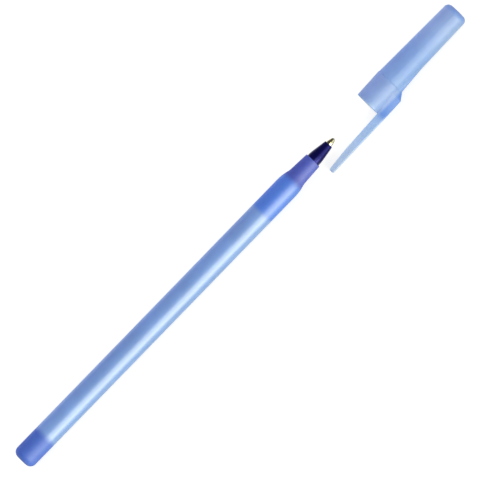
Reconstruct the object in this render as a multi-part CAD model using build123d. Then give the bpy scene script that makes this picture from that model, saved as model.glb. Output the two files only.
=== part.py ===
from build123d import *
import math
import os

# A stick ballpoint pen with its cap drawn straight off the writing end.
# Millimetres. X runs along the pen's axis, from the tail face at X = 0 to the point.
# Z is up: the pen lies on its side, and its clip keeps it from rolling.

# Barrel: one frosted moulded tube with a shoulder and a slim neck in front
barrel_length = 130.6  # tail face to the front of the neck
barrel_diameter = 7.8
barrel_wall = 1.25
tail_round = 2.2
shoulder_length = 2.7
shoulder_share = 0.72  # share of the shoulder's slope that its outward curve takes
hollow_share = 0.2  # share that the inward curve at the neck takes
neck_length = 7.3
neck_root_wall = 1.05
neck_front_wall = 0.68
neck_lip_chamfer = 0.12
bore_step = 0.55  # how far the bore steps in at the shoulder

# Clearances, all radial
press_gap = 0.01  # end plug in the barrel, nose cone in the neck, point in the nose cone
tube_gap = 0.02  # ink tube in its socket
ink_gap = 0.01  # ink and follower in the tube
ball_gap = 0.015  # writing ball in its socket
cap_gap = 0.05  # barrel in the cap

# End plug: a cup pressed into the open tail
plug_length = 10.8
plug_wall = 0.9
plug_end_wall = 1.6
plug_lead = 0.5
seam_width = 0.15
groove_width = 0.6  # air groove along the plug's side
groove_depth = 0.25

# Nose cone: the point's holder, with a long hollow shank behind the neck
nose_length = 7.06
nose_land = 1.3  # straight band behind the taper
nose_curve_share = 0.9  # share of that band that the curve into the taper takes
nose_flange = 0.25  # how far the base stands over the neck's bore
nose_front_wall = 0.4
nose_front_chamfer = 0.15
holder_length = 23.0
holder_wall = 0.47
holder_lead = 0.3
socket_depth = 12.0
channel_diameter = 1.6

# Point: a turned body with the writing ball crimped into its tip
point_diameter = 2.1
point_reach = 2.19  # nose cone's front to the crimped lip
point_straight = 0.74
point_depth = 6.5
point_lead = 0.2
lip_wall = 0.12
ball_diameter = 1.0
ball_proud = 0.25
throat_diameter = 0.4
throat_length = 0.5
seat_angle = 90.0  # of the cone that the ball sits in
feed_diameter = 1.1

# Ink: a tube, its ink and the grease that follows the ink
tube_wall = 0.6
tube_room = 5.2  # from the end plug to the tube's open end
spare_length = 17.0  # empty tube behind the follower
follower_length = 3.0

# Cap: a tapered shell with a flared collar at the mouth
cap_length = 40.45
cap_drawn = 47.4  # how far the cap stands off its seat on the barrel
cap_grip = 13.0  # mouth to the seat
mouth_wall = 0.42
mouth_chamfer = 0.1
mouth_lead = 0.15
collar_length = 9.8
collar_wall = 0.79
collar_step = 0.14
collar_step_length = 0.25
cap_draft = 0.5  # fall in radius from the collar to the closed end
cap_corner = 1.8
cap_end_wall = 1.1
cap_inner_chamfer = 0.6
seat_step = 0.45  # fall in radius of the bore beyond the seat
vent_diameter = 1.5

# Clip: a tapered bar that grows out of the collar and stands along the barrel
clip_reach = 22.95  # tip to the mouth
clip_lead = 8.4  # ramp under the tip
clip_height = 2.65  # over the collar at the mouth
clip_tip_lift = 0.31
clip_tip_thickness = 1.8
clip_gap_mouth = 0.28  # over the barrel's surface
clip_gap_free = 0.9
clip_tip_width = 3.0
clip_width = 3.7
clip_edge_round = 0.4
clip_tip_round = 0.45
tip_steps = 2  # flats that the tip's rounding is drawn in
root_length = 7.8  # mouth to the clip's rear edge
root_drop = 0.22
root_slope_length = 2.5
root_base_width = 7.4
root_foot_height = 0.45  # over the body at the foot of the rear slope
fairing_length = 10.5
fairing_width = 1.6

# Radii and stations that follow
barrel_r = barrel_diameter / 2
bore_r = barrel_r - barrel_wall
neck_bore_r = bore_r - bore_step
neck_root_r = neck_bore_r + neck_root_wall
neck_front_r = neck_bore_r + neck_front_wall
neck_root_x = barrel_length - neck_length
shoulder_x = neck_root_x - shoulder_length

holder_r = neck_bore_r - press_gap
holder_rear_x = barrel_length - holder_length
socket_r = holder_r - holder_wall
socket_seat_x = holder_rear_x + socket_depth
nose_front_x = barrel_length + nose_length
point_r = point_diameter / 2
point_rear_x = nose_front_x - point_depth
lip_x = nose_front_x + point_reach
ball_r = ball_diameter / 2
ball_x = lip_x + ball_proud - ball_r
ball_socket_r = ball_r + ball_gap
feed_end_x = ball_x - ball_socket_r / math.sin(math.radians(seat_angle / 2)) - throat_length

tube_r = socket_r - tube_gap
tube_bore_r = tube_r - tube_wall
tube_rear_x = plug_length + tube_room
ink_rear_x = tube_rear_x + spare_length + follower_length

cap_bore_r = barrel_r + cap_gap
mouth_r = cap_bore_r + mouth_wall
collar_r = cap_bore_r + collar_wall
cap_root_r = collar_r - collar_step
cap_root_x = collar_length + collar_step_length
cap_end_r = cap_root_r - cap_draft
mouth_x = shoulder_x - cap_grip + cap_drawn
clip_mouth_r = mouth_r + clip_height
clip_half = clip_width / 2

# The clip's lower edge and the collar lie level, so that both meet the table
clip_roll = math.degrees(
    math.acos(collar_r / math.hypot(clip_mouth_r, clip_half)) + math.atan2(clip_half, clip_mouth_r)
)


def half_outline(*corners):
    """A closed half section in X and radius; each corner is (x, radius, rounding)."""
    points = [(x, r) for x, r, rounding in corners]
    roundings = [rounding for x, r, rounding in corners]
    return make_face(FilletPolyline(*points, radius=roundings, close=True))


def turned(*corners):
    """A solid of revolution about the pen's axis."""
    return revolve(half_outline(*corners), Axis.X)


def rod(start_x, end_x, radius):
    """A plain round rod along the pen's axis."""
    return turned((start_x, 0, 0), (start_x, radius, 0), (end_x, radius, 0), (end_x, 0, 0))


def tail_seam():
    """The fine V groove round the end plug, half in the barrel and half in the plug."""
    dome_r = max(0, bore_r - (barrel_r - tail_round))
    seam_x = tail_round - math.sqrt(tail_round**2 - dome_r**2)
    return turned(
        (seam_x - seam_width, bore_r - seam_width, 0),
        (seam_x + seam_width / 2, bore_r, 0),
        (seam_x - seam_width, bore_r + seam_width, 0),
    )


def barrel_form():
    """The barrel's outer form, not yet bored."""
    drop = barrel_r - neck_root_r
    slope = math.hypot(shoulder_length, drop)
    shoulder_turn = math.atan2(drop, shoulder_length)
    neck_turn = shoulder_turn - math.atan2(neck_root_r - neck_front_r, neck_length)
    return turned(
        (0, 0, 0),
        (0, barrel_r, tail_round),
        (shoulder_x, barrel_r, shoulder_share * slope / math.tan(shoulder_turn / 2)),
        (neck_root_x, neck_root_r, hollow_share * slope / math.tan(neck_turn / 2)),
        (barrel_length - neck_lip_chamfer, neck_front_r, 0),
        (barrel_length, neck_front_r - neck_lip_chamfer, 0),
        (barrel_length, 0, 0),
    )


def make_barrel():
    bore = turned(
        (0, 0, 0),
        (0, bore_r, 0),
        (shoulder_x, bore_r, 0),
        (neck_root_x, neck_bore_r, 0),
        (barrel_length, neck_bore_r, 0),
        (barrel_length, 0, 0),
    )
    return barrel_form() - bore - tail_seam()


def make_end_plug():
    plug_r = bore_r - press_gap
    shank = turned(
        (0, 0, 0),
        (0, plug_r, 0),
        (plug_length - plug_lead, plug_r, 0),
        (plug_length, plug_r - plug_lead / 2, 0),
        (plug_length, 0, 0),
    )
    plug = (shank & barrel_form()) - tail_seam()
    plug -= rod(plug_end_wall, plug_length, plug_r - plug_wall)
    groove = Box(plug_length, groove_width, groove_depth, align=(Align.MIN, Align.CENTER, Align.MAX))
    return plug - Pos(0, 0, plug_r) * groove


def make_nose_cone():
    base_r = neck_bore_r + nose_flange
    front_r = point_r + press_gap + nose_front_wall
    taper_x = barrel_length + nose_land
    taper_turn = math.atan2(base_r - front_r, nose_length - nose_land - nose_front_chamfer)
    body = turned(
        (holder_rear_x, 0, 0),
        (holder_rear_x, holder_r - holder_lead / 2, 0),
        (holder_rear_x + holder_lead, holder_r, 0),
        (barrel_length, holder_r, 0),
        (barrel_length, base_r, 0),
        (taper_x, base_r, nose_curve_share * nose_land / math.tan(taper_turn / 2)),
        (nose_front_x - nose_front_chamfer, front_r, 0),
        (nose_front_x, front_r - nose_front_chamfer, 0),
        (nose_front_x, 0, 0),
    )
    hollow = rod(holder_rear_x, socket_seat_x, socket_r)
    hollow += rod(socket_seat_x, point_rear_x, channel_diameter / 2)
    hollow += rod(point_rear_x, nose_front_x, point_r + press_gap)
    return body - hollow


def ball_seat():
    """The throat, the drilled seat and the crimped lip, whose walls all clear the ball by the same gap."""
    throat_r = throat_diameter / 2
    seat_turn = math.radians(seat_angle / 2)
    apex_x = ball_x - ball_socket_r / math.sin(seat_turn)
    lip_bore_r = math.sqrt(ball_socket_r**2 - (lip_x - ball_x) ** 2)
    crimp_x = ball_x + ball_socket_r * (ball_socket_r - lip_bore_r) / (lip_x - ball_x)
    return turned(
        (feed_end_x, 0, 0),
        (feed_end_x, throat_r, 0),
        (apex_x + throat_r / math.tan(seat_turn), throat_r, 0),
        (apex_x + ball_socket_r / math.tan(seat_turn), ball_socket_r, 0),
        (crimp_x, ball_socket_r, 0),
        (lip_x, lip_bore_r, 0),
        (lip_x, 0, 0),
    )


def make_point_body():
    body = turned(
        (point_rear_x, 0, 0),
        (point_rear_x, point_r - point_lead / 2, 0),
        (point_rear_x + point_lead, point_r, 0),
        (nose_front_x + point_straight, point_r, 0),
        (lip_x, ball_r + lip_wall, 0),
        (lip_x, 0, 0),
    )
    body -= rod(point_rear_x, feed_end_x, feed_diameter / 2)
    return body - ball_seat()


def make_writing_ball():
    return Pos(ball_x, 0, 0) * Sphere(ball_r)


def make_ink_tube():
    return rod(tube_rear_x, socket_seat_x, tube_r) - rod(tube_rear_x, socket_seat_x, tube_bore_r)


def make_ink_column():
    ink_r = tube_bore_r - ink_gap
    channel_r = channel_diameter / 2 - ink_gap
    feed_r = feed_diameter / 2 - ink_gap
    return turned(
        (ink_rear_x, 0, 0),
        (ink_rear_x, ink_r, 0),
        (socket_seat_x - ink_gap, ink_r, 0),
        (socket_seat_x - ink_gap, channel_r, 0),
        (point_rear_x - ink_gap, channel_r, 0),
        (point_rear_x - ink_gap, feed_r, 0),
        (feed_end_x - ink_gap, feed_r, 0),
        (feed_end_x - ink_gap, 0, 0),
    )


def make_ink_follower():
    front_x = ink_rear_x - ink_gap
    return rod(front_x - follower_length, front_x, tube_bore_r - ink_gap)


def clip_section(x, low, high, low_width, high_width):
    """One cross section of the clip, standing up from the cap's axis."""
    corners = [
        (-low_width / 2, low),
        (low_width / 2, low),
        (high_width / 2, high),
        (-high_width / 2, high),
    ]
    outline = FilletPolyline(*corners, radius=[0, 0, clip_edge_round, clip_edge_round], close=True)
    return Plane(origin=(x, 0, 0), x_dir=(0, 1, 0), z_dir=(1, 0, 0)) * make_face(outline)


def make_clip():
    """The clip and its root, on a cap whose mouth is at X = 0, standing up along Z."""
    tip_r = clip_mouth_r + clip_tip_lift
    lead_share = clip_lead / clip_reach
    lead_width = clip_tip_width + (clip_width - clip_tip_width) * lead_share
    foot_x = root_length + root_slope_length
    foot_r = cap_root_r + root_foot_height
    fairing_x = foot_x + fairing_length
    fairing_r = cap_root_r - cap_draft * (fairing_x - cap_root_x) / (cap_length - cap_root_x)
    base_r = math.sqrt((cap_bore_r + collar_wall / 2) ** 2 - (root_base_width / 2) ** 2)
    sections = []
    for step in range(tip_steps + 1):
        share = step / tip_steps
        inset = clip_tip_round * (1 - math.sqrt(1 - (1 - share) ** 2))
        tip_width = clip_tip_width - 2 * inset
        sections.append(
            clip_section(
                clip_tip_round * share - clip_reach,
                tip_r - clip_tip_thickness + inset,
                tip_r - inset,
                tip_width,
                tip_width,
            )
        )
    sections += [
        clip_section(
            clip_lead - clip_reach,
            barrel_r + clip_gap_free,
            tip_r - clip_tip_lift * lead_share,
            lead_width,
            lead_width,
        ),
        clip_section(0, barrel_r + clip_gap_mouth, clip_mouth_r, clip_width, clip_width),
        clip_section(root_length, base_r, clip_mouth_r - root_drop, root_base_width, clip_width),
        clip_section(foot_x, base_r, foot_r, root_base_width, clip_width),
        clip_section(
            fairing_x,
            base_r,
            math.sqrt(fairing_r**2 - (fairing_width / 2) ** 2),
            fairing_width,
            fairing_width,
        ),
    ]
    return loft(sections, ruled=True)


def make_cap():
    seat_r = cap_bore_r - seat_step
    inner_end_x = cap_length - cap_end_wall
    seat_length = seat_step * shoulder_length / (barrel_r - neck_root_r)
    shell = turned(
        (0, 0, 0),
        (0, mouth_r - mouth_chamfer, 0),
        (mouth_chamfer, mouth_r, 0),
        (collar_length, collar_r, 0),
        (cap_root_x, cap_root_r, 0),
        (cap_length, cap_end_r, cap_corner),
        (cap_length, 0, 0),
    )
    hollow = turned(
        (0, 0, 0),
        (0, cap_bore_r + mouth_lead, 0),
        (mouth_lead, cap_bore_r, 0),
        (cap_grip, cap_bore_r, 0),
        (cap_grip + seat_length, seat_r, 0),
        (inner_end_x - cap_inner_chamfer, seat_r, 0),
        (inner_end_x, seat_r - cap_inner_chamfer, 0),
        (inner_end_x, 0, 0),
    )
    vent = rod(inner_end_x - cap_end_wall, cap_length, vent_diameter / 2)
    cap = shell + make_clip() - hollow - vent
    return Pos(mouth_x, 0, 0) * Rot(180 - clip_roll, 0, 0) * cap


pieces = {
    "barrel": make_barrel(),
    "end_plug": make_end_plug(),
    "nose_cone": make_nose_cone(),
    "point_body": make_point_body(),
    "writing_ball": make_writing_ball(),
    "ink_tube": make_ink_tube(),
    "ink_column": make_ink_column(),
    "ink_follower": make_ink_follower(),
    "cap": make_cap(),
}

os.makedirs("parts", exist_ok=True)
for name, piece in pieces.items():
    export_step(piece, f"parts/{name}.step")
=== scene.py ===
import math

import bpy
from mathutils import Matrix, Vector


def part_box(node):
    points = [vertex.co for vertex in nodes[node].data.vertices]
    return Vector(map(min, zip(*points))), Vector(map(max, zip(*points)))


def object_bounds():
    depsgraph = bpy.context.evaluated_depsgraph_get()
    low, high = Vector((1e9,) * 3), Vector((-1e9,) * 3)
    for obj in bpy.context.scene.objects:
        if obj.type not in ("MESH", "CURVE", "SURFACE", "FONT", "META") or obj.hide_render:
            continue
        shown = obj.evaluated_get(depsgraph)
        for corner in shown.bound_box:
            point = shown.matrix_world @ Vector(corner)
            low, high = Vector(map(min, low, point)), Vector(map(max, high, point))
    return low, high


# A stick ballpoint pen with its cap drawn off, lying on a pale floor.
# Metres, in the frame of the solids: X runs along the pen, from the tail to the point and the cap.

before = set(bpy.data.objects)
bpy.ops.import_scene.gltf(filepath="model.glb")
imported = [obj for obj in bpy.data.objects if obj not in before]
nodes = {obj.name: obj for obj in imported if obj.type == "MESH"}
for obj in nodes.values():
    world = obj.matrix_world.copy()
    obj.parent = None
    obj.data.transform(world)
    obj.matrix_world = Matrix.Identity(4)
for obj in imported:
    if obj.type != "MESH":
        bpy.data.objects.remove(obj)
cad_low, cad_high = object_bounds()
MM = 0.001

# Where things are on the pen
PLUG_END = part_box("end_plug")[1].x  # front of the end plug inside the barrel
HOLDER_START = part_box("nose_cone")[0].x  # rear of the nose cone's shank inside the barrel
NECK_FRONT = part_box("barrel")[1].x
SHOULDER = NECK_FRONT - 9.2 * MM  # on the slope where the barrel narrows to its neck
CLIP_REACH = 22.95 * MM  # from the clip's tip to the cap's mouth
CAP_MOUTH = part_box("cap")[0].x + CLIP_REACH
CAP_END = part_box("cap")[1].x
COLLAR_LENGTH = 9.8 * MM
COLLAR_STEP = CAP_MOUTH + COLLAR_LENGTH
BARREL_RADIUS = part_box("barrel")[1].z
COLLAR_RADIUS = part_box("cap")[1].z
TAIL_ROUND = 2.2 * MM
REST_TAIL = Vector((TAIL_ROUND, 0, -BARREL_RADIUS))  # where the barrel touches the floor
REST_COLLAR = Vector((COLLAR_STEP, 0, -COLLAR_RADIUS))  # where the cap's collar touches it

# Directions square to the pen's axis
CLIP_ROLL = math.radians(64.0)  # how far the clip is turned up from straight down
TO_CLIP = Vector((0, -math.sin(CLIP_ROLL), -math.cos(CLIP_ROLL)))
TO_CAMERA = Vector((0, -math.cos(CLIP_ROLL), math.sin(CLIP_ROLL)))

# Settings of the nodes that are used most
SMOOTH = {"interpolation_type": "SMOOTHSTEP"}
COLOUR_MIX = {"data_type": "RGBA"}
NUMBER_MIX = {"data_type": "FLOAT"}
MIX_A, MIX_B, MIX_RESULT = 6, 7, 2  # sockets of a colour mix, which shares its socket names with other mixes


def linear(hex_colour):
    """An sRGB hex colour as linear RGBA."""
    parts = [int(hex_colour[i : i + 2], 16) / 255 for i in (1, 3, 5)]
    return (*[c / 12.92 if c <= 0.04045 else ((c + 0.055) / 1.055) ** 2.4 for c in parts], 1.0)


def add_node(tree, kind, settings=None, inputs=None):
    """One node: its own settings, then each input as a value or as the output that feeds it."""
    made = tree.nodes.new(kind)
    for name, value in (settings or {}).items():
        setattr(made, name, value)
    for name, value in (inputs or {}).items():
        if isinstance(value, bpy.types.NodeSocket):
            tree.links.new(value, made.inputs[name])
        else:
            made.inputs[name].default_value = value
    return made


def edge_range(edge, softness):
    """The stretch over which a share rises from 0 to 1 about an edge, as a map range's inputs."""
    return {"From Min": edge - softness / 2, "From Max": edge + softness / 2}


def new_material(name):
    """An empty material and its node tree."""
    material = bpy.data.materials.new(name)
    material.use_nodes = True
    material.node_tree.nodes.clear()
    return material, material.node_tree


def dress(node_name, material):
    """Puts one material over a whole node."""
    mesh = nodes[node_name].data
    mesh.materials.clear()
    mesh.materials.append(material)


# Shades of the frosted pieces


def zoned(tree, along, first, zones):
    """Colour and roughness that change along the pen, in zones of edge, softness, colour and roughness."""
    colour, roughness = linear(first[0]), first[1]
    for edge, softness, next_colour, next_roughness in zones:
        share = add_node(
            tree, "ShaderNodeMapRange", SMOOTH, {"Value": along, **edge_range(edge, softness)}
        ).outputs["Result"]
        colour = add_node(
            tree,
            "ShaderNodeMix",
            COLOUR_MIX,
            {"Factor": share, MIX_A: colour, MIX_B: linear(next_colour)},
        ).outputs[MIX_RESULT]
        roughness = add_node(
            tree, "ShaderNodeMix", NUMBER_MIX, {"Factor": share, "A": roughness, "B": next_roughness}
        ).outputs["Result"]
    return colour, roughness


def barrel_shades(tree, where):
    """Deeper where the end plug or the nose cone's shank stands against the wall inside."""
    along = add_node(tree, "ShaderNodeSeparateXYZ", {}, {0: where}).outputs["X"]
    over_plug = ("#1f59cb", 0.64)
    zones = [
        (PLUG_END - 0.2 * MM, 2.6 * MM, "#6e95df", 0.455),  # the long hollow stretch
        (HOLDER_START, 2.0 * MM, "#3373e3", 0.505),  # over the nose cone's shank
        (SHOULDER, 2.4 * MM, "#2944bb", 0.65),  # the neck
    ]
    return zoned(tree, along, over_plug, zones)


def cap_shades(tree, where):
    """Pale along the thin clip, a deeper blue over the clip's root past the mouth, and deeper in the closed
    end.
    """
    along = add_node(tree, "ShaderNodeSeparateXYZ", {}, {0: where}).outputs["X"]
    outward = add_node(
        tree, "ShaderNodeVectorMath", {"operation": "DOT_PRODUCT"}, {0: where, 1: TO_CLIP}
    ).outputs["Value"]
    clip_tip = ("#9cb2e2", 0.45)
    zones = [
        (CAP_MOUTH - 9 * MM, 16 * MM, "#8caae4", 0.45),  # the clip towards its root
        (CAP_MOUTH + 0.5 * MM, 1.6 * MM, "#849fe1", 0.5),  # the collar
        (COLLAR_STEP, 1.5 * MM, "#7c9de3", 0.5),  # the body behind the collar
        (CAP_END - 13 * MM, 14 * MM, "#8ba6e6", 0.5),  # the body's slim end
        (CAP_END - 1.5 * MM, 1.6 * MM, "#7a9be7", 0.5),  # the closed end
    ]
    colour, roughness = zoned(tree, along, clip_tip, zones)
    # Past the mouth and out beyond the collar on the clip's side, the colour turns a deeper blue
    past_mouth = add_node(
        tree, "ShaderNodeMapRange", SMOOTH, {"Value": along, **edge_range(CAP_MOUTH, 3 * MM)}
    )
    outside_collar = add_node(
        tree, "ShaderNodeMapRange", SMOOTH, {"Value": outward, **edge_range(COLLAR_RADIUS, 1 * MM)}
    )
    root = add_node(
        tree,
        "ShaderNodeMath",
        {"operation": "MULTIPLY"},
        {0: past_mouth.outputs["Result"], 1: outside_collar.outputs["Result"]},
    )
    colour = add_node(
        tree,
        "ShaderNodeMix",
        COLOUR_MIX,
        {"Factor": root.outputs[0], MIX_A: colour, MIX_B: linear("#4d7fdb")},
    ).outputs[MIX_RESULT]
    return colour, roughness


# Finishes

NOISE_LOW, NOISE_HIGH = 0.3, 0.7  # between these lies most of a noise texture
WAVE_RATE = 20  # radians that a wave texture of scale 1 turns through in one unit of length


def mottled(tree, where, colour, patch_size, spread):
    """A colour that drifts a little from patch to patch, as flow in the mould leaves it."""
    flow = add_node(
        tree, "ShaderNodeTexNoise", {}, {"Vector": where, "Scale": 1 / patch_size, "Detail": 2.0}
    )
    swing = add_node(
        tree,
        "ShaderNodeMapRange",
        {},
        {
            "Value": flow.outputs["Fac"],
            "From Min": NOISE_LOW,
            "From Max": NOISE_HIGH,
            "To Min": 1 - spread,
            "To Max": 1 + spread,
        },
    )
    return add_node(
        tree,
        "ShaderNodeMix",
        {"data_type": "RGBA", "blend_type": "MULTIPLY"},
        {"Factor": 1.0, MIX_A: colour, MIX_B: swing.outputs["Result"]},
    ).outputs[MIX_RESULT]


def frosted_polypropylene(name, shades, gloss):
    """Polypropylene from a spark-eroded mould: milky, as light sinks in and spreads, with a satin gloss."""
    grain_size = 0.25 * MM  # the real grain is some 0.05 mm wide, too fine to show
    grain_depth = 0.02 * MM
    patch_size = 7 * MM
    index = 1.7  # the plastic's own is 1.49, raised to match its bright sheen
    spread_in_wall = 1.0 * MM
    material, tree = new_material(name)
    where = add_node(tree, "ShaderNodeTexCoord").outputs["Object"]
    colour, roughness = shades(tree, where)
    grain = add_node(
        tree, "ShaderNodeTexNoise", {}, {"Vector": where, "Scale": 1 / grain_size, "Detail": 1.0}
    )
    bump = add_node(
        tree,
        "ShaderNodeBump",
        {},
        {"Strength": 0.05, "Distance": grain_depth, "Height": grain.outputs["Fac"]},
    )
    plastic = add_node(
        tree,
        "ShaderNodeBsdfPrincipled",
        {},
        {
            "Base Color": mottled(tree, where, colour, patch_size, spread=0.05),
            "Roughness": roughness,
            "IOR": index,
            "Specular IOR Level": gloss,
            "Subsurface Weight": 0.5,
            "Subsurface Radius": (1.0, 1.0, 1.5),  # blue spreads farthest
            "Subsurface Scale": spread_in_wall,
            "Normal": bump.outputs["Normal"],
        },
    )
    add_node(tree, "ShaderNodeOutputMaterial", {}, {"Surface": plastic.outputs["BSDF"]})
    return material


def even_gloss(name, colour, roughness, index, gloss=0.5, gloss_tint="#ffffff"):
    """One colour right through, with a clear gloss: plastic from a polished mould or die, ink or grease."""
    patch_size = 3 * MM
    material, tree = new_material(name)
    where = add_node(tree, "ShaderNodeTexCoord").outputs["Object"]
    skin = add_node(
        tree,
        "ShaderNodeBsdfPrincipled",
        {},
        {
            "Base Color": mottled(tree, where, linear(colour), patch_size, spread=0.12),
            "Roughness": roughness,
            "IOR": index,
            "Specular IOR Level": gloss,
            "Specular Tint": linear(gloss_tint),
        },
    )
    add_node(tree, "ShaderNodeOutputMaterial", {}, {"Surface": skin.outputs["BSDF"]})
    return material


def turned_metal(name, colour, roughness, ring_pitch):
    """Metal turned or lapped to fine rings round the axis, which draw its reflections out across them, with
    shade painted into the grooves between the rings.
    """
    groove_depth = 0.01 * MM
    painted_groove_shade = 0.8
    material, tree = new_material(name)
    where = add_node(tree, "ShaderNodeTexCoord").outputs["Object"]
    rings = add_node(
        tree,
        "ShaderNodeTexWave",
        {"bands_direction": "X"},
        {
            "Vector": where,
            "Scale": math.tau / (WAVE_RATE * ring_pitch),
            "Distortion": 0.6,
            "Detail": 1.0,
        },
    ).outputs["Fac"]
    ridge = linear(colour)
    # painted shade: the grooves between the rings take a darker copy of the metal's colour
    groove = (*[c * painted_groove_shade for c in ridge[:3]], 1.0)
    tone = add_node(
        tree, "ShaderNodeMix", COLOUR_MIX, {"Factor": rings, MIX_A: groove, MIX_B: ridge}
    )
    bump = add_node(
        tree, "ShaderNodeBump", {}, {"Strength": 0.15, "Distance": groove_depth, "Height": rings}
    )
    metal = add_node(
        tree,
        "ShaderNodeBsdfPrincipled",
        {},
        {
            "Base Color": tone.outputs[MIX_RESULT],
            "Metallic": 1.0,
            "Roughness": roughness,
            "Normal": bump.outputs["Normal"],
        },
    )
    add_node(tree, "ShaderNodeOutputMaterial", {}, {"Surface": metal.outputs["BSDF"]})
    return material


# The barrel's satin skin carries one long bright band
dress("barrel", frosted_polypropylene("barrel_frosted_polypropylene", barrel_shades, 0.85))
# The cap's skin is duller, so its band is faint
dress("cap", frosted_polypropylene("cap_frosted_polypropylene", cap_shades, 0.4))
# Deep even blue at the tail, softly glossy
dress("end_plug", even_gloss("plug_moulded_polypropylene", "#375bbc", 0.45, 1.49))
# Nearly black, and a little translucent, so that what gloss comes back is blue
dress("nose_cone", even_gloss("nose_moulded_styrene", "#030242", 0.35, 1.5, 0.8, "#7c7cff"))
# Pale yellow with hard light and dark streaks, and painted shade in the grooves of its rings; real turning
# marks are some 0.03 mm apart, too fine to show
dress("point_body", turned_metal("point_turned_brass", "#e8e0b6", 0.28, 0.12 * MM))
# Dark grey and mirror bright, with painted shade in the grooves; the marks of lapping are drawn far coarser
# than they are
dress("writing_ball", turned_metal("ball_lapped_carbide", "#8c8c90", 0.1, 0.2 * MM))
# Milky pale blue and smooth
dress("ink_tube", even_gloss("tube_extruded_polypropylene", "#b9c8ea", 0.4, 1.49))
# Thick and wet, nearly black
dress("ink_column", even_gloss("ink_paste", "#05052c", 0.3, 1.5))
# Pale and wet
dress("ink_follower", even_gloss("follower_grease", "#c9c8b4", 0.3, 1.47))

# Stage: a pale floor that meets the tail and the collar, softboxes on the clip's side, room light opposite

BACKGROUND = 1.0  # what shows behind the pen: white
CEILING = 0.08  # what gloss meets overhead
WALL_TOP = 0.06  # rise of a direction, 0 level and 1 straight up, at which the white wall ends
WALL_TOP_SOFTNESS = 0.12
LAMP_WALL = 0.25  # lean of a direction to the clip's side, past which the wall goes on up behind the lamps
LAMP_WALL_SOFTNESS = 0.3
ROOM_LIGHT = 1.3  # on the side away from the clip
ROOM_LIGHT_END = 0.5  # lean of a direction to the clip's side, at which the room light has faded out
FLOOR_COLOUR = "#a4a4a4"
FLOOR_GLOW = 0.77  # brings the floor up to white where it is seen
FLOOR_SPAN = 6.0
SOFTBOX_TINT = (1.0, 1.0, 0.72)  # a little warm, so that the bright band isn't too blue
SOFTBOX_LENGTH = 0.9
SOFTBOX_DISTANCE = 3.0
PEN_MIDDLE = Vector(((cad_low.x + cad_high.x) / 2, 0, 0))


def seen_directly(tree):
    """1 on rays from the camera, from gloss or through clear material, 0 on rays that carry light about."""
    rays = add_node(tree, "ShaderNodeLightPath").outputs
    seen = add_node(
        tree,
        "ShaderNodeMath",
        {"operation": "ADD"},
        {0: rays["Is Camera Ray"], 1: rays["Is Glossy Ray"]},
    )
    return add_node(
        tree,
        "ShaderNodeMath",
        {"operation": "ADD", "use_clamp": True},
        {0: seen.outputs[0], 1: rays["Is Transmission Ray"]},
    ).outputs[0]


def make_world():
    """White to the camera, a white wall under a dim ceiling to gloss, and soft side light to the rest."""
    world = bpy.data.worlds.new("studio_room")
    world.use_nodes = True
    world.cycles.sampling_method = "NONE"  # so that gloss meets the walls and never the room light
    tree = world.node_tree
    tree.nodes.clear()
    away_from_clip = -1.0  # a direction's lean to the clip's side, straight away from it
    towards = add_node(tree, "ShaderNodeTexCoord").outputs["Generated"]
    height = add_node(tree, "ShaderNodeSeparateXYZ", {}, {0: towards}).outputs["Z"]
    clip_side = add_node(
        tree, "ShaderNodeVectorMath", {"operation": "DOT_PRODUCT"}, {0: towards, 1: TO_CLIP}
    ).outputs["Value"]
    room = add_node(
        tree,
        "ShaderNodeMapRange",
        {},
        {
            "Value": clip_side,
            "From Min": away_from_clip,
            "From Max": ROOM_LIGHT_END,
            "To Min": ROOM_LIGHT,
            "To Max": 0.0,
        },
    )
    overhead = add_node(
        tree,
        "ShaderNodeMapRange",
        SMOOTH,
        {"Value": height, **edge_range(WALL_TOP, WALL_TOP_SOFTNESS)},
    )
    behind_lamps = add_node(
        tree,
        "ShaderNodeMapRange",
        SMOOTH,
        {"Value": clip_side, **edge_range(LAMP_WALL, LAMP_WALL_SOFTNESS)},
    )
    camera_ray = add_node(tree, "ShaderNodeLightPath").outputs["Is Camera Ray"]
    white = add_node(
        tree,
        "ShaderNodeMath",
        {"operation": "ADD"},
        {0: behind_lamps.outputs["Result"], 1: camera_ray},
    )
    dim = add_node(
        tree,
        "ShaderNodeMath",
        {"operation": "SUBTRACT", "use_clamp": True},
        {0: overhead.outputs["Result"], 1: white.outputs[0]},
    )
    wall = add_node(
        tree, "ShaderNodeMix", NUMBER_MIX, {"Factor": dim.outputs[0], "A": BACKGROUND, "B": CEILING}
    )
    level = add_node(
        tree,
        "ShaderNodeMix",
        NUMBER_MIX,
        {"Factor": seen_directly(tree), "A": room.outputs["Result"], "B": wall.outputs["Result"]},
    )
    light = add_node(
        tree,
        "ShaderNodeBackground",
        {},
        {"Color": (1, 1, 1, 1), "Strength": level.outputs["Result"]},
    )
    add_node(tree, "ShaderNodeOutputWorld", {}, {"Surface": light.outputs["Background"]})
    bpy.context.scene.world = world


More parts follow.
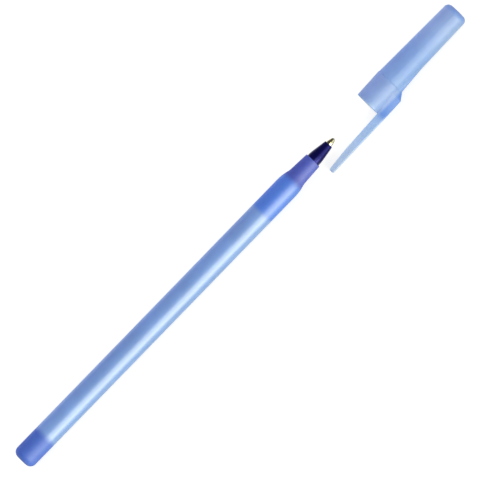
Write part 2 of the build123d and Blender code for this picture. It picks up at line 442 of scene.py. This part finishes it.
def make_floor():
    """Matt paper that looks white, keeps the pen's shadow and lights the pen only as grey paper does."""
    along = (REST_COLLAR - REST_TAIL).normalized() * FLOOR_SPAN / 2
    across = Vector((0, 1, 0)) * FLOOR_SPAN / 2
    middle = (REST_TAIL + REST_COLLAR) / 2
    tail_edge = middle - along
    cap_edge = middle + along
    corners = [tail_edge - across, cap_edge - across, cap_edge + across, tail_edge + across]
    mesh = bpy.data.meshes.new("floor")
    mesh.from_pydata(corners, [], [(0, 1, 2, 3)])
    floor = bpy.data.objects.new("floor", mesh)
    bpy.context.collection.objects.link(floor)
    material, tree = new_material("floor_matt_paper")
    paper = add_node(tree, "ShaderNodeBsdfDiffuse", {}, {"Color": linear(FLOOR_COLOUR)})
    glow = add_node(tree, "ShaderNodeEmission", {}, {"Color": (1, 1, 1, 1), "Strength": FLOOR_GLOW})
    no_glow = add_node(tree, "ShaderNodeEmission", {}, {"Strength": 0.0})
    lift = add_node(
        tree,
        "ShaderNodeMixShader",
        {},
        {0: seen_directly(tree), 1: no_glow.outputs[0], 2: glow.outputs[0]},
    )
    both = add_node(tree, "ShaderNodeAddShader", {}, {0: paper.outputs[0], 1: lift.outputs[0]})
    add_node(tree, "ShaderNodeOutputMaterial", {}, {"Surface": both.outputs[0]})
    mesh.materials.append(material)


def make_softbox(name, low_angle, high_angle, radiance):
    """A rectangular lamp that faces the pen, between two angles from the camera towards the clip's side."""
    middle = math.radians((low_angle + high_angle) / 2)
    width = 2 * SOFTBOX_DISTANCE * math.tan(math.radians((high_angle - low_angle) / 2))
    lamp = bpy.data.lights.new(name, "AREA")
    lamp.shape = "RECTANGLE"
    lamp.color = SOFTBOX_TINT
    lamp.size = SOFTBOX_LENGTH
    lamp.size_y = width
    lamp.energy = radiance * math.pi * SOFTBOX_LENGTH * width
    softbox = bpy.data.objects.new(name, lamp)
    bpy.context.collection.objects.link(softbox)
    back = TO_CAMERA * math.cos(middle) + TO_CLIP * math.sin(middle)
    right = Vector((1, 0, 0))
    turn = Matrix((right, back.cross(right), back)).transposed().to_4x4()
    softbox.matrix_world = Matrix.Translation(PEN_MIDDLE + back * SOFTBOX_DISTANCE) @ turn


make_world()
make_floor()
make_softbox("front_softbox", low_angle=16.0, high_angle=44.0, radiance=11.0)
make_softbox("low_softbox", low_angle=55.0, high_angle=64.0, radiance=39.0)

# Camera: square to the clip's side, turned so that the pen rises to the right

FIELD = 149.8 * MM  # width of the picture at the pen
PEN_SLOPE = math.radians(45.86)
AIM = Vector((96.88, 0, 0)) * MM + TO_CLIP * 0.934 * MM  # what the middle of the picture shows

camera_data = bpy.data.cameras.new("camera")
camera_data.sensor_width = 36.0
camera_data.lens = 1000.0  # long and far off, so that both ends of the pen show at one scale
camera = bpy.data.objects.new("camera", camera_data)
bpy.context.collection.objects.link(camera)
along_pen = Vector((1, 0, 0))
right = along_pen * math.cos(PEN_SLOPE) + TO_CLIP * math.sin(PEN_SLOPE)
up = along_pen * math.sin(PEN_SLOPE) - TO_CLIP * math.cos(PEN_SLOPE)
distance = FIELD * camera_data.lens / camera_data.sensor_width
turn = Matrix((right, up, TO_CAMERA)).transposed().to_4x4()
camera.matrix_world = Matrix.Translation(AIM + TO_CAMERA * distance) @ turn
bpy.context.scene.camera = camera
bpy.context.scene.view_settings.view_transform = "Standard"
